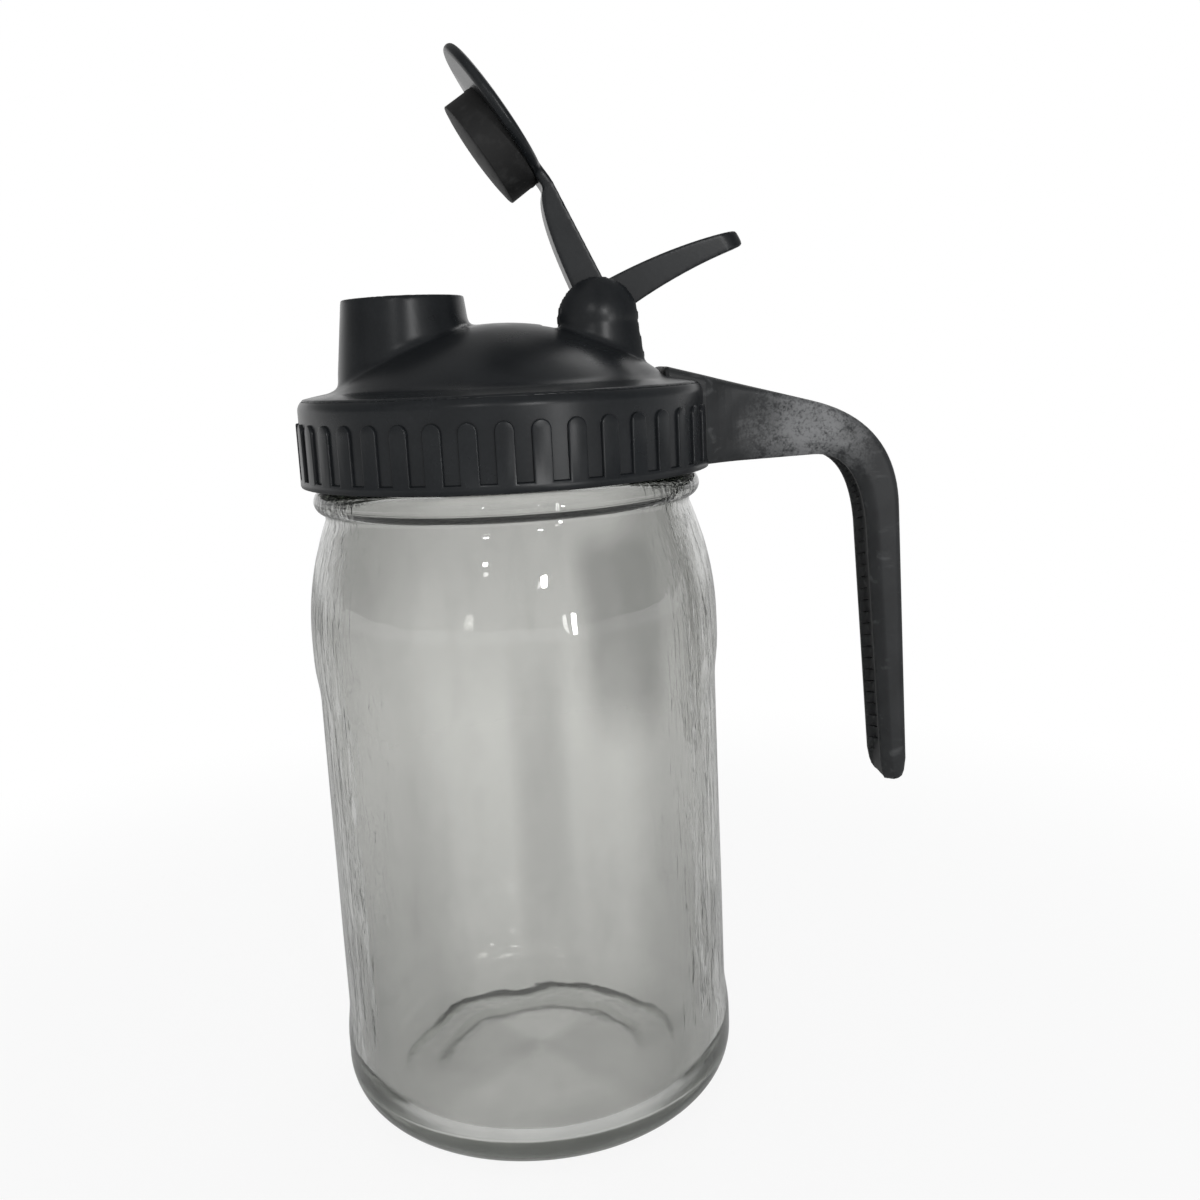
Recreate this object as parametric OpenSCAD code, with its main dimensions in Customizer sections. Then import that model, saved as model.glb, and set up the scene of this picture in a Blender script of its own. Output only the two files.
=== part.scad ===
// Wide-mouth glass jar dressed as a pitcher: a screw lid with a pour spout,
// a snap-in flip cap with a thumb lever, and a side handle keyed to the lid.
// The jar stands on z = 0, its axis is +Z, the spout points to -X and the handle to +X.

/* [Jar] */
// Outside diameter of the jar body
jar_d = 96.4; // [90:0.2:106]
// Height of the jar from its foot to its rim
jar_h = 169.6; // [150:0.2:190]
// Outside diameter of the plain neck that the lid goes over
neck_d = 83.2; // [82:0.2:84.4]
// Inside diameter of the mouth
mouth_d = 76.4; // [74:0.2:77]
// Thickness of the body wall
glass_wall = 3.4; // [2.5:0.1:4.5]
// Thickness of the glass at the middle of the foot
foot_glass = 5.6; // [4:0.2:8]
// Rise of the push-up under the foot
push_up = 2.4; // [1:0.1:4]
// Radius of the heel between foot and wall
heel_r = 12.5; // [10:0.5:16]
// Height of the shoulder, from the wall to the neck
shoulder_h = 27.5; // [22:0.5:34]
// Radius of the bead under the lid
bead_r = 2.9; // [2:0.1:3.5]
// Depth of the flattened panels of the wall, at their middle
panel_depth = 0.9; // [0.3:0.1:1.3]
// Half the angle that the label panels span at front and back, in degrees
label_turn = 43; // [36:1:46]
// Half the angle that the side panels span, in degrees
side_turn = 36; // [28:1:40]

/* [Gasket] */
// Thickness of the flat lid gasket
gasket_t = 1.8; // [1:0.1:3]
// Width by which the gasket passes the rim on each side
gasket_overhang = 0.6; // [0.2:0.1:1]

/* [Lid] */
// Outside diameter over the grip pads
lid_d = 95; // [94:0.2:104]
// Height of the skirt below the gasket seat
skirt_h = 18; // [14:0.2:22]
// Depth of the recesses between the grip pads
grip_depth = 0.7; // [0.4:0.1:1.2]
// Number of grip pads round the skirt
grip_count = 40; // [24:2:44]
// Share of the pitch that a grip pad fills
grip_fill = 0.54; // [0.45:0.01:0.65]
// Height of the plain band under the grip pads
grip_band = 2; // [1:0.1:3]
// Distance from the top of the grip pads up to the lid shoulder
grip_gap = 2.6; // [1:0.1:4]
// Radius of the shoulder over the skirt
lid_shoulder_r = 2.8; // [1.5:0.1:4]
// Depth of the crease that parts the lid shoulder from the brim
crease_depth = 0.35; // [0.2:0.05:0.5]
// Thickness of the brim over the gasket, at the shoulder
brim_t = 1.9; // [1.4:0.1:3]
// Radius at which the dome rises from the brim
dome_foot_r = 38.6; // [36:0.2:40]
// Height of the dome above its foot
dome_rise = 14; // [10:0.2:20]
// Wall of the dome
dome_wall = 2.4; // [1.8:0.1:3]

/* [Spout] */
// Distance of the spout from the lid axis
spout_x = 21.4; // [19:0.2:22.6]
// Bore of the spout
spout_bore_d = 25.8; // [22:0.2:27]
// Wall of the spout at its lip
spout_lip = 1.1; // [0.8:0.1:1.8]
// Height of the spout lip above the top of the dome
spout_rise = 6.6; // [5.6:0.1:9]
// Outward lean of the spout wall, in degrees
spout_draft = 6.5; // [3:0.5:8]

/* [Hinge] */
// Distance of the hinge pins from the lid axis
pivot_x = 23; // [22:0.2:24]
// Height of the spout lip above the hinge pins
pivot_drop = 6.5; // [5.5:0.1:7]
// Radius of the ears round the pins
ear_r = 9.7; // [8.5:0.1:11]
// Outward lean of the ears below the pins, in degrees
ear_lean = 6; // [2:0.5:9]
// Width of the cap hub between the ears
hub_w = 12; // [9:0.5:13]
// Diameter of the cap hub
hub_d = 10; // [9:0.2:10.6]
// Diameter of the hinge pins
pin_d = 5; // [4:0.1:6]
// Length of each hinge pin
pin_len = 3.4; // [2.5:0.1:4]
// Angle by which the flip cap stands open, in degrees
cap_open = 56; // [0:1:70]

/* [Flip cap] */
// Diameter of the cap disc
disc_d = 34.8; // [32:0.2:37]
// Distance from the spout axis to the disc centre, towards the tip
disc_shift = 5.2; // [3:0.1:6]
// Thickness of the disc at its rim
disc_t = 3.8; // [3:0.1:4.5]
// Crown of the disc top
disc_crown = 0.7; // [0.4:0.1:2]
// Thickness of the arm
arm_t = 4.5; // [3.5:0.1:5.5]
// Length of the thumb lever from the pins to its tip
lever_len = 37.4; // [30:0.2:44]
// Thickness of the thumb lever at its root
lever_root_t = 7.8; // [6.5:0.1:9]
// Thickness of the thumb lever at its tip
lever_tip_t = 3.8; // [3:0.1:5]
// Lean of the thumb lever from upright when the cap is shut, in degrees
lever_lean = 7.7; // [4:0.1:14]

/* [Plug] */
// Depth that the plug reaches into the spout
plug_depth = 5.6; // [4:0.1:6]
// Inward taper of the plug over its depth
plug_taper = 0.7; // [0.6:0.05:1]
// Wall of the plug cup
plug_wall = 1.8; // [1.2:0.1:2.4]

/* [Handle] */
// Distance from the lid axis to the outside of the grip tip
handle_reach = 94.2; // [84:0.2:104]
// Distance from the brim down to the tip of the grip
handle_drop = 102; // [84:0.5:120]
// Width of the handle
handle_w = 15.4; // [13:0.2:18]
// Thickness of the grip at its tip
grip_tip_t = 6.2; // [5:0.1:8]
// Thickness of the grip below the bend
grip_top_t = 8; // [7:0.1:10]
// Slope of the top of the handle arm, in degrees
arm_slope = 15.5; // [12:0.5:18]
// Depth of the channel along the inside of the handle
channel_depth = 2.2; // [1:0.1:3]
// Width of the channel along the inside of the handle
channel_w = 9.4; // [6:0.2:9.6]
// Width by which the handle root flares at each side
root_flare = 3.2; // [1:0.1:4]

/* [Fits] */
// Radial room between skirt and neck, which the thread fills
thread_room = 1.7; // [1.5:0.1:2]
// Radial running clearance of the hinge pins
pin_room = 0.05; // [0.02:0.01:0.08]
// Radial room between the plug and the spout bore
plug_room = 0.3; // [0.2:0.05:0.5]
// Room between faces that pass or close on each other
face_room = 0.3; // [0.2:0.05:0.5]
// Room between the keyed faces of fixed pieces
key_room = 0.05; // [0.02:0.01:0.1]

/* [Hidden] */
$fn = 96;

// Lid levels, from the jar rim upwards
seat_z = jar_h + gasket_t;
skirt_z = seat_z - skirt_h;
brim_z = seat_z + brim_t;
lid_bore_r = neck_d / 2 + thread_room;
lid_r = lid_d / 2;
wall_r = lid_r - grip_depth;
brim_r = wall_r - lid_shoulder_r;
brim_slope = 9;
dome_foot_z = brim_z + (brim_r - dome_foot_r) * tan(brim_slope);
dome_top_z = dome_foot_z + dome_rise;
dome_r = (dome_foot_r * dome_foot_r + dome_rise * dome_rise) / (2 * dome_rise);
dome_centre_z = dome_top_z - dome_r;
cavity_r = mouth_d / 2 - 0.8;
crease_turn = 42;
crease_span = 8;

// Jar levels, from the lid skirt downwards
jar_r = jar_d / 2;
neck_r = neck_d / 2;
mouth_r = mouth_d / 2;
bead_gap = 0.7;
bead_z = skirt_z - bead_gap - bead_r;
bead_x = neck_r + 0.6;
neck_z = bead_z - bead_r - 1.5;
neck_root_r = neck_r + 1.1;
shoulder_z = neck_z - shoulder_h;
shoulder_in = jar_r - neck_root_r;
shoulder_r = (shoulder_h * shoulder_h + shoulder_in * shoulder_in) / (2 * shoulder_in);
shoulder_turn = asin(shoulder_h / shoulder_r);
rim_round = 1.2;
panel_low_z = heel_r + 4;
panel_high_z = shoulder_z - 4;
panel_fade = 9;
foot_r = jar_r - heel_r;
stand_r = foot_r - 3;
step_r = foot_r - 12.5;
step_h = push_up * 0.3;
floor_z = push_up + foot_glass;
floor_r = heel_r - 1.5;
floor_dip = 1;
flat_r = 14;

// Spout and hinge
lip_z = dome_top_z + spout_rise;
bore_r = spout_bore_d / 2;
spout_r = bore_r + spout_lip;
lip_round = 0.4;
pivot_z = lip_z - pivot_drop;
hub_r = hub_d / 2;
arm_w = hub_w - 0.4;
slot_w = hub_w + 2 * face_room;
tower_r = norm([ear_r, slot_w / 2]);
slot_floor_z = pivot_z - 2.6;
slot_reach = tower_r + 1.5;
socket_d = pin_d + 2 * pin_room;

// Flip cap, drawn shut on the spout
disc_r = disc_d / 2;
disc_x = -spout_x - disc_shift;
disc_z = lip_z + face_room;
disc_edge = 1.3;
disc_top_z = disc_z + disc_t + disc_crown;
crown_half = disc_r - disc_edge;
crown_r = (crown_half * crown_half + disc_crown * disc_crown) / (2 * disc_crown);
plug_r = bore_r - plug_room;
boss_r = plug_r - plug_wall - key_room;
boss_h = plug_depth - plug_wall;

// Handle outline in the XZ plane, outside and inside
root_x = dome_foot_r - 2.2;
root_top_z = brim_z + 3.6;
flare_run = 9;
elbow_x = handle_reach - 22;
elbow_z = root_top_z - (elbow_x - root_x) * tan(arm_slope);
tip_z = brim_z - handle_drop;
grip_out = [handle_reach - 1.6, elbow_z - 26];
grip_in = [grip_out[0] - grip_top_t, grip_out[1] - 4];
bend_out = [handle_reach - 3.7, elbow_z - 4.8];
bend_in = [grip_in[0] - 1.4, skirt_z + 1.2];
elbow_in_z = skirt_z + 1.5;
tip_round = 0.8;
key_w = 8;
key_h = 11;
key_depth = 2;
key_z = skirt_z + skirt_h / 2;

function arc(c, r, a0, a1, n) =
    [for (i = [0 : n]) let (a = a0 + (a1 - a0) * i / n) c + r * [cos(a), sin(a)]];
function bend(a, b, c, n) =
    [for (i = [0 : n]) let (t = i / n) a * (1 - t) * (1 - t) + b * 2 * t * (1 - t) + c * t * t];
function cap_arc(z, r, turn) =
    concat(arc([0, z], r, 90 - turn, 90 - turn / 24, 14), [[0, z + r * cos(turn / 24)]]);
function line(a, b, n) = [for (i = [0 : n - 1]) a + (b - a) * i / n];

// Extrudes an XZ outline to both sides of the XZ plane
module side_extrude(width) {
    translate([0, width / 2, 0]) rotate([90, 0, 0]) linear_extrude(width) children();
}

// What a panel facing +X takes off the wall: all that lies outside a wider, off-centre drum
module panel_cut(half_turn) {
    front = jar_r - panel_depth;
    drum_x = (front * front - jar_r * jar_r) / (2 * (front - jar_r * cos(half_turn)));
    drum_r = front - drum_x;
    reach = jar_r * sin(half_turn) + 1;
    fade_r = drum_r + panel_depth + 0.2;
    difference() {
        translate([jar_r * cos(half_turn) - 1, -reach, panel_low_z])
            cube([jar_r, 2 * reach, panel_high_z - panel_low_z]);
        rotate_extrude_at(drum_x) polygon([
            [0, panel_low_z - 1], [fade_r, panel_low_z - 1], [fade_r, panel_low_z],
            [drum_r, panel_low_z + panel_fade], [drum_r, panel_high_z - panel_fade],
            [fade_r, panel_high_z], [fade_r, panel_high_z + 1], [0, panel_high_z + 1]]);
    }
}

// Glass jar: a revolved wall with stepped push-up foot, heel, four flattened panels, shoulder, bead and rim
module glass_jar() {
    outside = concat(
        [[0, push_up], [step_r - step_h, push_up], [step_r, push_up - step_h],
         [stand_r - 4, push_up - 1.4 * step_h], [stand_r, 0]],
        arc([foot_r, heel_r], heel_r, -90, 0, 12),
        arc([jar_r - shoulder_r, shoulder_z], shoulder_r, 0, shoulder_turn, 12),
        arc([bead_x, bead_z], bead_r, -70, 78, 10),
        [[neck_r, bead_z + bead_r]],
        arc([neck_r - rim_round, jar_h - rim_round], rim_round, 0, 90, 4));
    inside = concat(
        arc([mouth_r + rim_round, jar_h - rim_round], rim_round, 90, 180, 4),
        [[mouth_r, neck_z + 5]],
        arc([jar_r - shoulder_r, shoulder_z], shoulder_r - glass_wall, shoulder_turn, 0, 12),
        arc([jar_r - glass_wall - floor_r, floor_z - floor_dip + floor_r], floor_r, 0, -90, 10),
        [[flat_r, floor_z], [0, floor_z]]);
    color([0.72, 0.76, 0.74, 0.5]) difference() {
        rotate_extrude() polygon(concat(outside, inside));
        for (turn = [0, 180]) {
            rotate([0, 0, turn]) panel_cut(side_turn);
            rotate([0, 0, turn + 90]) panel_cut(label_turn);
        }
    }
}

// Flat silicone ring between the jar rim and the lid seat
module lid_gasket() {
    color([0.16, 0.16, 0.17]) difference() {
        translate([0, 0, jar_h]) cylinder(r = neck_r + gasket_overhang, h = gasket_t);
        translate([0, 0, jar_h - 1]) cylinder(r = mouth_r - gasket_overhang, h = gasket_t + 2);
    }
}

// Outer form of the lid: skirt with its bottom band, shoulder, brim and dome
module lid_outside(room) {
    dome_turn = asin(dome_foot_r / dome_r);
    corner = [brim_r, brim_z - lid_shoulder_r];
    corner_r = lid_shoulder_r + room;
    crease = crease_turn + crease_span / 2;
    rotate_extrude() polygon(concat(
        [[0, skirt_z - room], [lid_r + room, skirt_z - room], [lid_r + room, skirt_z + grip_band + room],
         [wall_r + room, skirt_z + grip_band + room]],
        arc(corner, corner_r, 0, crease_turn, 4),
        [corner + (corner_r - crease_depth) * [cos(crease), sin(crease)]],
        arc(corner, corner_r, crease_turn + crease_span, 90, 4),
        cap_arc(dome_centre_z, dome_r + room, dome_turn)));
}

// Hollow under the lid: skirt bore, gasket seat and the inside of the dome
module lid_hollow() {
    hollow_r = dome_r - dome_wall;
    hollow_turn = asin(cavity_r / hollow_r);
    rotate_extrude() polygon(concat(
        [[0, skirt_z - 1], [lid_bore_r, skirt_z - 1], [lid_bore_r, seat_z], [cavity_r, seat_z]],
        cap_arc(dome_centre_z, hollow_r, hollow_turn)));
}

// Raised grip pads with arched tops, standing round the skirt except behind the handle
module grip_pads() {
    pad_w = PI * lid_d / grip_count * grip_fill;
    pad_r = lid_r - 0.08;
    pad_x = sqrt(pad_r * pad_r - pad_w * pad_w / 4);
    pad_foot_z = skirt_z + grip_band / 2;
    pad_h = brim_z - lid_shoulder_r - grip_gap - pad_foot_z;
    sunk = 0.4;
    bare_turn = asin((handle_w / 2 + root_flare + pad_w / 2 + face_room) / wall_r);
    for (i = [0 : grip_count - 1]) let (turn = i * 360 / grip_count)
        if (turn > bare_turn && turn < 360 - bare_turn)
            rotate([0, 0, turn]) translate([wall_r - sunk, 0, pad_foot_z]) rotate([90, 0, 90])
                linear_extrude(pad_x - wall_r + sunk) {
                    translate([-pad_w / 2, 0]) square([pad_w, pad_h - pad_w / 2]);
                    translate([0, pad_h - pad_w / 2]) circle(d = pad_w, $fn = 32);
                }
}

// Tapered spout wall with a rounded lip
module spout_outside() {
    spout_h = lip_z - dome_foot_z;
    rotate_extrude_at(-spout_x) polygon(concat(
        [[0, dome_foot_z], [spout_r + spout_h * tan(spout_draft), dome_foot_z]],
        arc([spout_r - lip_round, lip_z - lip_round], lip_round, 0, 90, 4),
        [[0, lip_z]]));
}

// Thimble-shaped tower that the slot parts into the two hinge ears
module hinge_tower() {
    foot_h = pivot_z - dome_foot_z;
    rotate_extrude_at(pivot_x) polygon(concat(
        [[0, dome_foot_z], [tower_r + foot_h * tan(ear_lean), dome_foot_z]],
        arc([0, pivot_z], tower_r, -ear_lean, 90, 16)));
}

// Slot between the ears, round relief for the hub, and blind sockets for the pins
module hinge_slot() {
    translate([pivot_x, 0, 0]) {
        translate([-slot_reach, -slot_w / 2, slot_floor_z]) cube([2 * slot_reach, slot_w, 2 * tower_r]);
        translate([0, 0, pivot_z]) rotate([90, 0, 0]) {
            cylinder(r = hub_r + face_room, h = slot_w, center = true);
            cylinder(d = socket_d, h = slot_w + 2 * pin_len, center = true);
        }
    }
}

// Tenon that keys the handle to the skirt
module handle_key(room) {
    translate([wall_r - key_depth, -key_w / 2 - room, key_z - key_h / 2 - room])
        cube([key_depth + 2, key_w + 2 * room, key_h + 2 * room]);
}

// Screw lid: skirt, domed top, pour spout and hinge ears in one moulding
module pour_lid() {
    color([0.15, 0.155, 0.165]) difference() {
        union() {
            lid_outside(0);
            grip_pads();
            spout_outside();
            hinge_tower();
        }
        lid_hollow();
        translate([-spout_x, 0, seat_z]) cylinder(r = bore_r, h = lip_z);
        hinge_slot();
        translate([-key_room, 0, 0]) handle_key(key_room);
    }
}

// Handle section: rounded outside, bevelled inner rims and a channel between them
function handle_ring(half_t, half_w, depth) = let (
        r = 2, rim_t = min(2.4, half_t), rim_w = 1.6, c = channel_w / 2,
        side = concat(
            arc([half_t - r, half_w - r], r, 0, 90, 4),
            [[rim_t - half_t, half_w], [-half_t, half_w - rim_w], [-half_t, c], [depth - half_t, c - 0.8]]))
    concat(side, [for (i = [len(side) - 1 : -1 : 0]) [side[i][0], -side[i][1]]]);

// Handle arm and grip, lofted between its outer and inner outline
module handle_loft() {
    out_path = concat(
        line([root_x, root_top_z], [elbow_x, elbow_z], 12),
        bend([elbow_x, elbow_z], bend_out, grip_out, 12),
        [for (i = [1 : 8]) grip_out + ([handle_reach, tip_z] - grip_out) * i / 8]);
    in_path = concat(
        line([root_x, skirt_z], [elbow_x, elbow_in_z], 12),
        bend([elbow_x, elbow_in_z], bend_in, grip_in, 12),
        [for (i = [1 : 8]) grip_in + ([handle_reach - grip_tip_t, tip_z] - grip_in) * i / 8]);
    last = len(out_path) - 1;
    rings = [for (i = [0 : last]) let (
            a = in_path[i], b = out_path[i], mid = (a + b) / 2, up = (b - a) / norm(b - a),
            flare = root_flare * pow(max(0, 1 - max(0, mid[0] - lid_r + 1) / flare_run), 2),
            tip = i == last ? tip_round : 0,
            depth = channel_depth * min(1, i / 6, (last - i) / 2),
            ring = handle_ring(norm(b - a) / 2 - tip, handle_w / 2 + flare - tip, depth))
        [for (p = ring) [mid[0] + up[0] * p[0], p[1], mid[1] + up[1] * p[0]]]];
    n = len(rings[0]);
    polyhedron(
        points = [for (ring = rings) each ring],
        faces = concat(
            [[for (k = [n - 1 : -1 : 0]) k]],
            [for (i = [0 : last - 1]) for (k = [0 : n - 1])
                [i * n + k, i * n + (k + 1) % n, (i + 1) * n + (k + 1) % n, (i + 1) * n + k]],
            [[for (k = [0 : n - 1]) last * n + k]]));
}

// Side handle, seated over the lid shoulder and keyed into the skirt
module handle() {
    dish_r = 40;
    dish_depth = 1.3;
    dish_x = (lid_r + elbow_x) / 2 + 3;
    dish_z = skirt_z + skirt_h / 2;
    color([0.25, 0.255, 0.265]) {
        difference() {
            handle_loft();
            lid_outside(key_room);
            for (side = [-1, 1])
                translate([dish_x, side * (handle_w / 2 + dish_r - dish_depth), dish_z])
                    sphere(r = dish_r);
        }
        handle_key(0);
    }
}

// Arm and thumb lever outlines in the XZ plane, drawn with the cap shut
module arm_outline() {
    kink = [disc_x + disc_r + 0.4, disc_z + disc_t];
    pin = [pivot_x, pivot_z];
    fall = asin(hub_r / norm(pin - kink)) + atan2(pin[1] - kink[1], pin[0] - kink[0]);
    hub_top = pin + hub_r * [cos(90 + fall), sin(90 + fall)];
    hub_front = pin + hub_r * [cos(205), sin(205)];
    disc_side = [disc_x + disc_r - 0.6, disc_z];
    belly = (kink + hub_top) / 2 + arm_t * [sin(fall), -cos(fall)];
    polygon(concat(
        [[disc_x + disc_r - 6, disc_z], [disc_x + disc_r - 6, disc_z + disc_t], kink, hub_top, pin],
        bend(hub_front, belly * 2 - (hub_front + disc_side) / 2, disc_side, 8)));
}

module lever_outline() {
    root = hub_r * 0.7;
    back = 1.4;
    front = lever_root_t - back;
    tip = lever_tip_t / 2;
    nose = 1;
    translate([pivot_x, pivot_z]) rotate(-lever_lean) polygon(concat(
        [[-root, 0]],
        bend([-front, 5], [-front + 0.4, lever_len * 0.6], [-tip, lever_len - nose], 8),
        [[-tip + nose, lever_len], [tip - nose, lever_len]],
        bend([tip, lever_len - nose], [0.2, lever_len * 0.6], [back, 9], 6),
        [[root, 0]]));
}

module flip_cap_shut() {
    // Disc with a crowned top
    rotate_extrude_at(disc_x) polygon(concat(
        [[0, disc_z]],
        arc([disc_r - disc_edge, disc_z + disc_edge], disc_edge, -90, 0, 4),
        arc([disc_r - disc_edge, disc_z + disc_t - disc_edge], disc_edge, 0, 85, 4),
        cap_arc(disc_top_z - crown_r, crown_r, asin(crown_half / crown_r))));
    // Boss that holds the plug
    translate([-spout_x, 0, disc_z - boss_h]) cylinder(r = boss_r, h = boss_h + 1);
    difference() {
        side_extrude(arm_w) {
            arm_outline();
            lever_outline();
        }
        lever_corners();
    }
    translate([pivot_x, 0, pivot_z]) rotate([90, 0, 0]) {
        cylinder(r = hub_r, h = hub_w, center = true);
        cylinder(d = pin_d, h = hub_w + 2 * pin_len, center = true);
    }
}

// What is cut from the tip of the thumb lever to round its two corners
module lever_corners() {
    round_r = 4.5;
    translate([pivot_x, 0, pivot_z]) rotate([0, lever_lean, 0]) for (side = [-1, 1])
        translate([0, side * (arm_w / 2 - round_r), lever_len - round_r]) rotate([0, 90, 0]) difference() {
            translate([-2 * round_r, side > 0 ? 0 : -2 * round_r, -lever_len])
                cube([2 * round_r, 2 * round_r, 2 * lever_len]);
            cylinder(r = round_r, h = 3 * lever_len, center = true);
        }
}

// Soft plug cup pressed over the boss of the cap
module cap_plug_shut() {
    rotate_extrude_at(-spout_x) polygon([
        [0, disc_z - plug_depth], [plug_r - plug_taper, disc_z - plug_depth],
        [plug_r, disc_z], [boss_r + key_room, disc_z],
        [boss_r + key_room, disc_z - boss_h - key_room], [0, disc_z - boss_h - key_room]]);
}

module rotate_extrude_at(x) {
    translate([x, 0, 0]) rotate_extrude() children();
}

// Turns the shut cap about its pins to where it stands open
module opened() {
    translate([pivot_x, 0, pivot_z]) rotate([0, cap_open, 0]) translate([-pivot_x, 0, -pivot_z]) children();
}

module flip_cap() {
    color([0.14, 0.145, 0.155]) opened() flip_cap_shut();
}

module cap_plug() {
    color([0.12, 0.125, 0.13]) opened() cap_plug_shut();
}

glass_jar();
lid_gasket();
pour_lid();
handle();
flip_cap();
cap_plug();
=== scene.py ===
"""Looks of a glass pitcher jar with a screw pour lid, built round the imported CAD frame."""
import math

import bmesh
import bpy
from mathutils import Matrix, Vector, noise


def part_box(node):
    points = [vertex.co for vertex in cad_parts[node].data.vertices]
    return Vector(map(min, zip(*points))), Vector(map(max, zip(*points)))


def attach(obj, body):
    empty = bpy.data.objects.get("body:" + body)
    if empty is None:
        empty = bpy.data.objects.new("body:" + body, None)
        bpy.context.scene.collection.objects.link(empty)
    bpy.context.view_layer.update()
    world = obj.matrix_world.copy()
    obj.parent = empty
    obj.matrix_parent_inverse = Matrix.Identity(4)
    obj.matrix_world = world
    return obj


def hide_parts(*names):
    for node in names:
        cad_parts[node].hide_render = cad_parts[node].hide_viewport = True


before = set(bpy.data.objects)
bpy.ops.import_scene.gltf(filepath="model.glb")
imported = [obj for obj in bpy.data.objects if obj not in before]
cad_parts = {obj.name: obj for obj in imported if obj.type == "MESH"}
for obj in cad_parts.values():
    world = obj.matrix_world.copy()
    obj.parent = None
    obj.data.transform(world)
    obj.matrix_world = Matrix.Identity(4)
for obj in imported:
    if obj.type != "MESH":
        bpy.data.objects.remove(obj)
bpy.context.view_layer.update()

MM = 0.001
TAU = 2 * math.pi


def node_top(node):
    """Height of a CAD node's highest point, in mm."""
    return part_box(node)[1].z / MM


# Jar, in mm
JAR_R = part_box("glass_jar")[1].x / MM
JAR_H = node_top("glass_jar")
NECK_R = 41.6
MOUTH_R = 38.2
RIM_ROUND = 1.2
WALL = 3.4
HEEL_R = 12.5
FOOT_R = JAR_R - HEEL_R
PUSH_UP = 2.4
PUSH_UP_R = 21
FOOT_SLOPE = 0.1
FOOT_STEPS = ((0.5, 23, 28), (0.4, 32.5, 37))  # depth, inner and outer radius
FLOOR_Z = 8.0
FLOOR_R = 36.2
SHOULDER_Z = 117.9
SHOULDER_R = 71.5
SHOULDER_TURN = 22.62
BEAD_R = 2.9
BEAD_OUT = 0.6
BEAD_Z = 149.8
PANEL_DEPTH = 0.9
PANEL_LOW, PANEL_HIGH, PANEL_FADE = 16.5, 113.9, 9
LABEL_TURN, SIDE_TURN = 43, 36
THREAD_LEAD = 5.08
THREAD_H = 1.1
THREAD_HALF = 1.2
THREAD_MESH = 0.42
WAVE_HEIGHT = 42
JAR_THREAD_Z = 156.6
JAR_THREAD_TURNS = (0.0, 1.4)
LID_THREAD_TURNS = (0.3, 1.6)

# Lid, in mm
LID_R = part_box("pour_lid")[1].y / MM
SEAT_Z = node_top("lid_gasket")
SKIRT_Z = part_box("pour_lid")[0].z / MM
WALL_R = LID_R - 0.7
BORE_R = 43.3
CAVITY_R = 37.4
BRIM_T = 1.9
BRIM_Z = SEAT_Z + BRIM_T
SHOULDER_ROUND = 2.8
BRIM_R = WALL_R - SHOULDER_ROUND
DOME_FOOT_R = 38.6
DOME_R = 60.2
DOME_CENTRE_Z = 127.94
DOME_WALL = 2.4
SPOUT_X = 21.4
SPOUT_BORE_R = 12.9
SPOUT_R = 14.0
SPOUT_DRAFT = 6.5
SPOUT_TOP = 194.755
PIVOT = Vector((23.0, 0.0, 188.255))
TOWER_R = 11.15
EAR_LEAN = 6
SLOT_W = 12.6
SLOT_FLOOR_Z = PIVOT.z - 2.6
PADS = 40
PADS_LEFT_OUT = 3
PAD_W = 4.0

# Flip cap, in mm, modelled shut and then opened about its pins
CAP_OPEN = 56
HUB_R = 5.0
HUB_W = 12.0
PIN_R = 2.5
PIN_LEN = 3.4
ARM_W = 11.6
ARM_SAG = 4.5
DISC_R = 17.4
DISC_X = -26.6
DISC_Z = SPOUT_TOP + 0.35
DISC_T = 2.5
DISC_CROWN = 0.25
LEVER_LEN = 37.4
LEVER_LEAN = 7.7
PLUG_R = 12.6
PLUG_DEPTH = 7.0

# Handle, in mm: points of its outer and inner outline. The bend pulls the curve from elbow to grip.
HANDLE_W = 15.4
ROOT_FLARE = 3.2
FLARE_LEN = 9
ROOT_OUT, ROOT_IN = (36.4, 176.9), (36.4, SKIRT_Z)
ELBOW_OUT, ELBOW_IN = (72.2, 166.97), (72.2, SKIRT_Z + 1.0)
BEND_OUT, BEND_IN = (92.3, 161.37), (83.2, SKIRT_Z + 1.2)
GRIP_OUT, GRIP_IN = (92.6, 140.97), (84.6, 136.97)
TIP_OUT, TIP_IN = (94.2, 72.1), (88.0, 72.1)
CHANNEL_W = 9.4
CHANNEL_DEPTH = 2.2

# Middle of the jar's front and back in its painted shade and its relief, in degrees round it from -Y towards
# +X
FRONT, BACK = -4, 176

# Glass: linear colours, the second of them the dark tint of its painted reflections, painted shade and
# smears, how fast its body darkens per metre, and the depth of its fine relief in mm
PALE_TINT, SHADE_AND_SMEAR_TINT = (0.80, 0.80, 0.782), (0.42, 0.422, 0.412)
SHADOW_TINT = (0.80, 0.80, 0.79, 1)
BODY_TINT = (0.50, 0.52, 0.49, 1)
BODY_DENSITY = 26.0
RELIEF_DEPTH = 0.18


# ------------------------------------------------------------------ camera

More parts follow.
